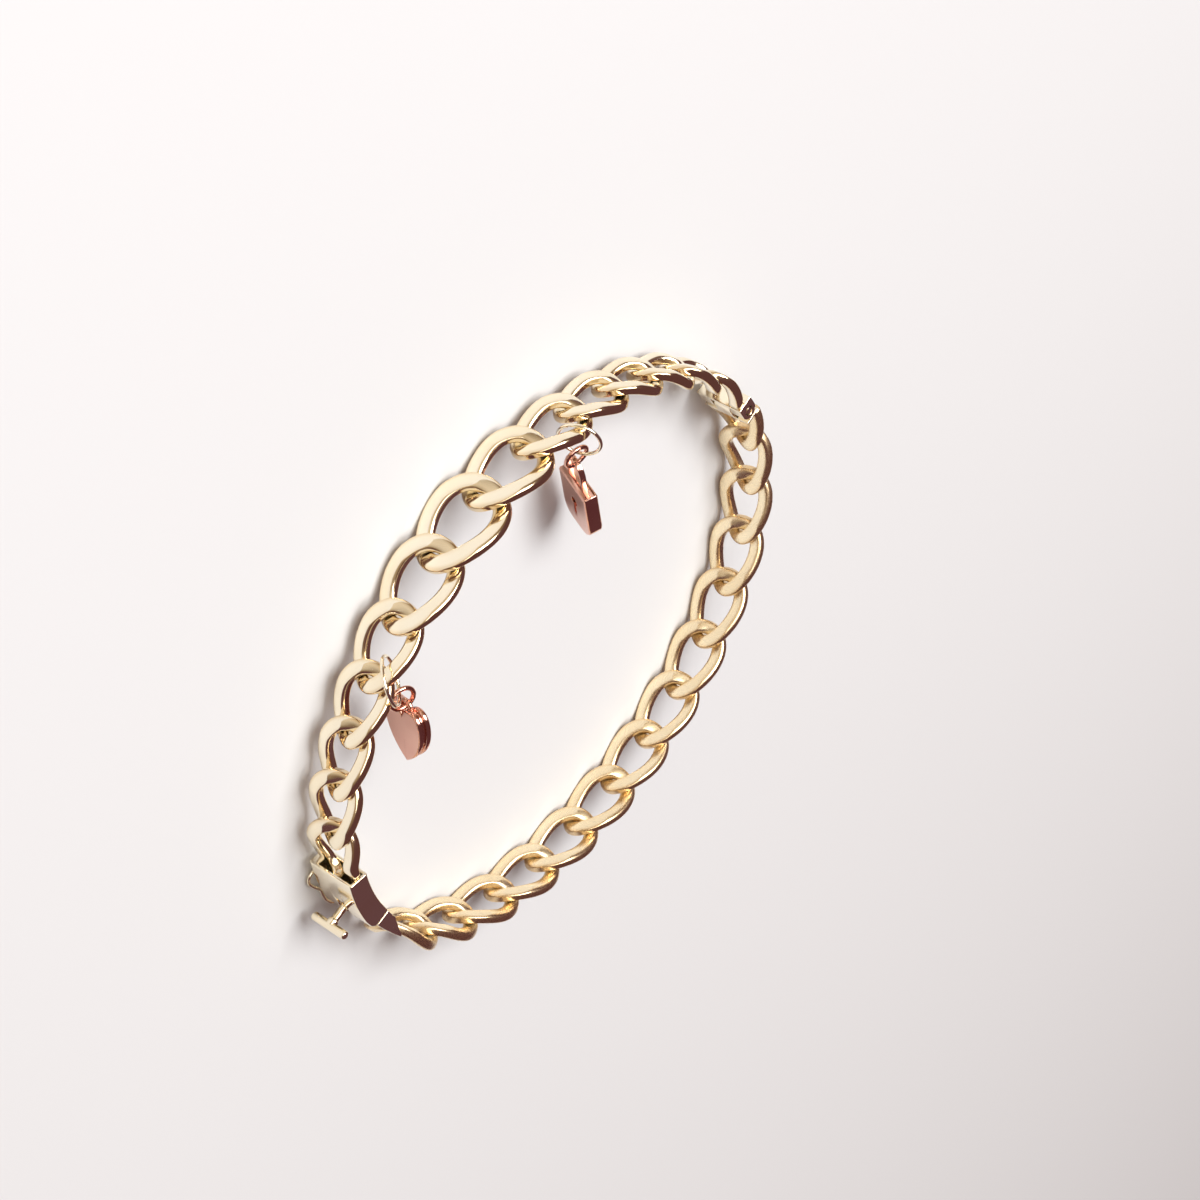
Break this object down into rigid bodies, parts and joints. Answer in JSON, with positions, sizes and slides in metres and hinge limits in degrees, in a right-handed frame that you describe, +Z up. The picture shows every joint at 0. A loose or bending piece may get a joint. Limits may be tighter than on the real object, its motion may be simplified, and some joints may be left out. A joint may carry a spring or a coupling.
{
  "type": "hinged oval curb-link bangle with box clasp and two charms",
  "caption": "Closed oval bangle of rigid curb links, widest at the front, with a side hinge, a box clasp with thumb tab and safety catch, and a padlock and a heart charm.",
  "frame": {"origin": "on the surface the bangle lies on, under the middle of its bounding box", "axes": "+X from the hinge to the clasp along the long way across, +Y from the graduated front half to the plain back half, +Z up through the wrist opening"},
  "size_m": [0.0636, 0.0506, 0.0085],
  "materials": {
    "yellow_gold": "polished yellow gold",
    "satin_gold": "softly brushed yellow gold",
    "rose_gold": "polished rose gold"
  },
  "bodies": {
    "front_half": {"link_front_01": "yellow_gold", "link_front_02": "yellow_gold", "link_front_03": "yellow_gold", "link_front_04": "yellow_gold", "link_front_05": "yellow_gold", "link_front_06": "yellow_gold", "link_front_07": "yellow_gold", "link_front_08": "yellow_gold", "link_front_09": "yellow_gold", "link_front_10": "yellow_gold", "link_front_11": "yellow_gold", "link_front_12": "yellow_gold", "link_front_13": "yellow_gold", "link_front_14": "yellow_gold", "clasp_box": "yellow_gold", "hinge_front": "yellow_gold", "hinge_pin": "yellow_gold", "jump_ring_padlock": "yellow_gold", "charm_link_padlock": "rose_gold", "padlock_charm": "rose_gold", "jump_ring_heart": "yellow_gold", "charm_link_heart": "rose_gold", "heart_charm": "rose_gold"},
    "back_half": {"link_back_01": "satin_gold", "link_back_02": "satin_gold", "link_back_03": "satin_gold", "link_back_04": "satin_gold", "link_back_05": "satin_gold", "link_back_06": "satin_gold", "link_back_07": "satin_gold", "link_back_08": "satin_gold", "link_back_09": "satin_gold", "link_back_10": "satin_gold", "link_back_11": "satin_gold", "link_back_12": "satin_gold", "link_back_13": "satin_gold", "link_back_14": "satin_gold", "clasp_tongue": "yellow_gold", "hinge_back": "yellow_gold"},
    "thumb_tab": {"thumb_tab": "yellow_gold"},
    "safety_catch": {"safety_catch": "yellow_gold"}
  },
  "joints": [
    {"name": "bangle_hinge", "type": "hinge", "parent": "front_half", "child": "back_half", "pos_m": [-0.03046, -0.0025, 0.0035], "axis": [0, 0.0207, 0.9998], "range_deg": [0, 50]},
    {"name": "tab_press", "type": "slide", "parent": "back_half", "child": "thumb_tab", "axis": [-1, 0, 0], "range_m": [0, 0.0003], "stiffness_N_per_m": 2000, "springref_m": -0.0001},
    {"name": "catch_swing", "type": "hinge", "parent": "front_half", "child": "safety_catch", "pos_m": [0.02783, -0.00427, 0.00044], "axis": [-0.9757, 0.2191, -0.0045], "range_deg": [0, 110]}
  ]
}
